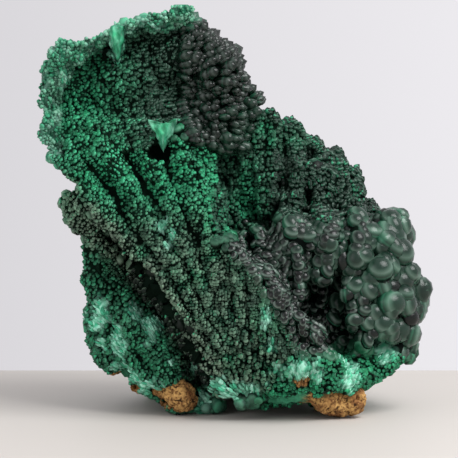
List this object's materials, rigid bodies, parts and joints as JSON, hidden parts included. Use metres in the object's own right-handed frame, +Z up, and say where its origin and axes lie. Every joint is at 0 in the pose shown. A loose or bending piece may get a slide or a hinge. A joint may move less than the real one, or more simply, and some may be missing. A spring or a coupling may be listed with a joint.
{
  "type": "malachite specimen",
  "caption": "Fan-shaped botryoidal malachite specimen, velvet green-black with bright broken edges, standing on its base with limonite at the feet.",
  "frame": {"origin": "on the table, under the middle of the specimen's box", "axes": "+Z up, -Y out of the display face, +X to the right of someone who looks at the display face"},
  "size_m": [0.174, 0.102, 0.178],
  "materials": {
    "velvet_malachite": "velvety",
    "limonite": "earthy"
  },
  "bodies": {
    "root": {"malachite": "velvet_malachite", "limonite_left": "limonite", "limonite_right": "limonite"}
  },
  "joints": []
}
